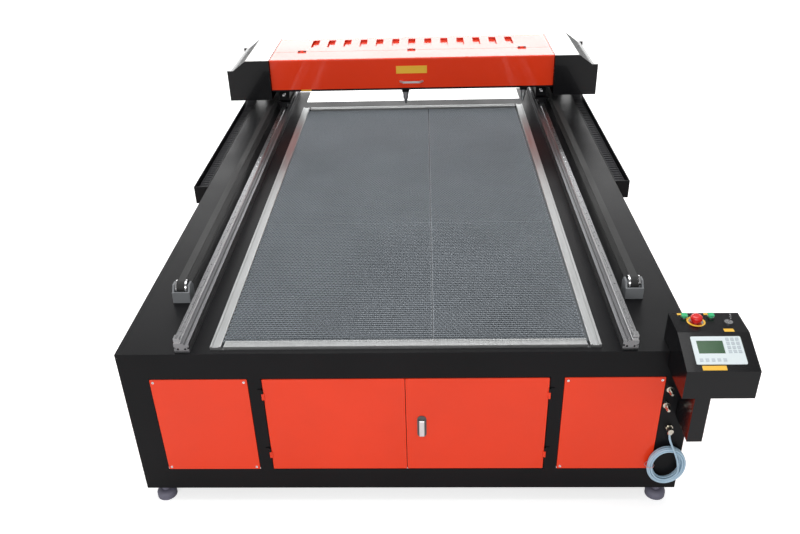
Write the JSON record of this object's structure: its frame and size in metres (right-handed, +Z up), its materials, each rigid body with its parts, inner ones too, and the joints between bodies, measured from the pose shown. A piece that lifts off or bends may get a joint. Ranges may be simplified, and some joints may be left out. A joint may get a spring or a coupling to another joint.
{
  "type": "carbon dioxide laser engraving machine",
  "caption": "Large flat-bed laser engraving machine with a honeycomb table, a travelling gantry with laser heads, and a control console on the front corner.",
  "frame": {"origin": "middle of the footprint, on the floor", "axes": "+X to the right as seen from the front, +Y to the rear, +Z up"},
  "size_m": [2.259, 3.158, 1.0763],
  "materials": {
    "black_coat": "fine textured powder coat",
    "black_gloss": "smooth gloss paint",
    "orange_gloss": "gloss paint",
    "white_coat": "satin paint",
    "aluminium": "extruded, satin",
    "core_foil": "foil, dull",
    "steel": "ground",
    "galvanised": "zinc plated sheet",
    "belt": "polyurethane",
    "chain_plastic": "moulded",
    "chrome": "polished",
    "bezel_plastic": "silver film",
    "screen": "back-lit panel",
    "red_plastic": "moulded",
    "green_plastic": "moulded",
    "hose_blue": "clear tube",
    "brass": "turned",
    "rubber": "moulded",
    "glass": "clear",
    "grey_metal": "cast and painted",
    "module_metal": "sheet"
  },
  "bodies": {
    "machine_base": {"base_frame": "black_coat", "levelling_feet": "rubber", "front_fascia": "black_coat", "front_panels": "orange_gloss", "body_skins": "black_coat", "side_panels": "orange_gloss", "suction_tray": "galvanised", "exhaust_collars": "galvanised", "table_deck": "black_coat", "bed_frame": "aluminium", "honeycomb_core": "core_foil", "bed_slats": "aluminium", "rail_beams": "aluminium", "linear_guides": "steel", "drive_belts": "belt", "belt_brackets": "grey_metal", "drive_motors": "black_coat", "chain_lower_runs": "chain_plastic", "chain_troughs": "black_coat", "console_box": "black_gloss", "console_bezel": "bezel_plastic", "console_screen": "screen", "console_support": "black_gloss", "switch_collars": "chrome", "door_hinges": "black_coat", "air_fittings": "brass", "air_hose": "hose_blue", "hose_coil": "hose_blue", "electrics_plate": "galvanised", "electrics_modules": "module_metal"},
    "gantry": {"gantry_frame": "aluminium", "gantry_carriages": "black_coat", "end_boxes": "black_gloss", "end_caps": "white_coat", "tube_cover": "orange_gloss", "laser_tubes": "glass", "optics_mounts": "aluminium", "head_belt": "belt", "lid_hinges": "steel", "chain_upper_runs": "chain_plastic"},
    "lid": {"gantry_lid": "orange_gloss", "lid_handle": "chrome"},
    "left_head": {"head_left": "black_coat"},
    "right_head": {"head_right": "black_coat"},
    "left_lens": {"lens_tube_left": "aluminium"},
    "right_lens": {"lens_tube_right": "aluminium"},
    "left_door": {"door_left": "orange_gloss"},
    "right_door": {"door_right": "orange_gloss", "latch_plate": "chrome"},
    "latch": {"latch_handle": "chrome"},
    "stop": {"stop_button": "red_plastic"},
    "left_button": {"button_left": "green_plastic"},
    "right_button": {"button_right": "green_plastic"},
    "key": {"power_key": "chrome"},
    "front_pulleys": {"idler_pulleys": "chrome"},
    "rear_pulleys": {"drive_pulleys": "chrome"},
    "chain_bend": {"chain_bends": "chain_plastic"},
    "left_head_pulley": {"head_pulley_left": "aluminium"},
    "right_head_pulley": {"head_pulley_right": "aluminium"}
  },
  "joints": [
    {"name": "gantry_travel", "type": "slide", "parent": "machine_base", "child": "gantry", "axis": [0, 1, 0], "range_m": [-2.37, 0], "deforming": ["chain_lower_runs", "chain_upper_runs"]},
    {"name": "chain_bend_travel", "type": "slide", "parent": "gantry", "child": "chain_bend", "axis": [0, 1, 0], "range_m": [0, 1.185]},
    {"name": "lid_opening", "type": "hinge", "parent": "gantry", "child": "lid", "pos_m": [-0.0235, 1.254, 1.0723], "axis": [-1, 0, 0], "range_deg": [0, 95]},
    {"name": "head_travel", "type": "slide", "parent": "gantry", "child": "left_head", "axis": [1, 0, 0], "range_m": [-0.65, 0]},
    {"name": "head_travel_right", "type": "slide", "parent": "gantry", "child": "right_head", "axis": [1, 0, 0], "range_m": [-0.65, 0]},
    {"name": "focus_left", "type": "slide", "parent": "left_head", "child": "left_lens", "axis": [0, 0, 1], "range_m": [-0.02, 0.005]},
    {"name": "focus_right", "type": "slide", "parent": "right_head", "child": "right_lens", "axis": [0, 0, 1], "range_m": [-0.02, 0.005]},
    {"name": "head_pulley_spin_left", "type": "hinge", "parent": "gantry", "child": "left_head_pulley", "pos_m": [-0.9235, 1.189, 0.941], "axis": [0, 1, 0], "continuous": true},
    {"name": "head_pulley_spin_right", "type": "hinge", "parent": "gantry", "child": "right_head_pulley", "pos_m": [0.8765, 1.189, 0.941], "axis": [0, 1, 0], "continuous": true},
    {"name": "idler_spin", "type": "hinge", "parent": "machine_base", "child": "front_pulleys", "pos_m": [-0.0235, -1.021, 0.768], "axis": [1, 0, 0], "continuous": true},
    {"name": "drive_spin", "type": "hinge", "parent": "machine_base", "child": "rear_pulleys", "pos_m": [-0.0235, 1.529, 0.768], "axis": [1, 0, 0], "continuous": true},
    {"name": "door_left_swing", "type": "hinge", "parent": "machine_base", "child": "left_door", "pos_m": [-0.541, -1.4005, 0.3875], "axis": [0, 0, -1], "range_deg": [0, 110]},
    {"name": "door_right_swing", "type": "hinge", "parent": "machine_base", "child": "right_door", "pos_m": [0.494, -1.4005, 0.3875], "axis": [0, 0, 1], "range_deg": [0, 110]},
    {"name": "latch_lift", "type": "hinge", "parent": "right_door", "child": "latch", "pos_m": [0.0345, -1.4045, 0.411], "axis": [-1, 0, 0], "range_deg": [0, 70]},
    {"name": "stop_press", "type": "slide", "parent": "machine_base", "child": "stop", "axis": [0, 0, -1], "range_m": [0, 0.006], "stiffness_N_per_m": 800, "springref_m": -0.003},
    {"name": "button_left_press", "type": "slide", "parent": "machine_base", "child": "left_button", "axis": [0, 0, -1], "range_m": [0, 0.004], "stiffness_N_per_m": 600, "springref_m": -0.003},
    {"name": "button_right_press", "type": "slide", "parent": "machine_base", "child": "right_button", "axis": [0, 0, -1], "range_m": [0, 0.004], "stiffness_N_per_m": 600, "springref_m": -0.003},
    {"name": "key_turn", "type": "hinge", "parent": "machine_base", "child": "key", "pos_m": [1.0785, -1.381, 0.83], "axis": [0, 0, 1], "range_deg": [0, 90]}
  ],
  "couplings": [
    {"joint": "chain_bend_travel", "follows": "gantry_travel", "ratio": -0.5},
    {"joint": "head_travel_right", "follows": "head_travel", "ratio": 1},
    {"joint": "idler_spin", "follows": "gantry_travel", "rad_per_m": -40.816},
    {"joint": "drive_spin", "follows": "gantry_travel", "rad_per_m": -40.816},
    {"joint": "head_pulley_spin_left", "follows": "head_travel", "rad_per_m": 76.923},
    {"joint": "head_pulley_spin_right", "follows": "head_travel", "rad_per_m": 76.923}
  ]
}
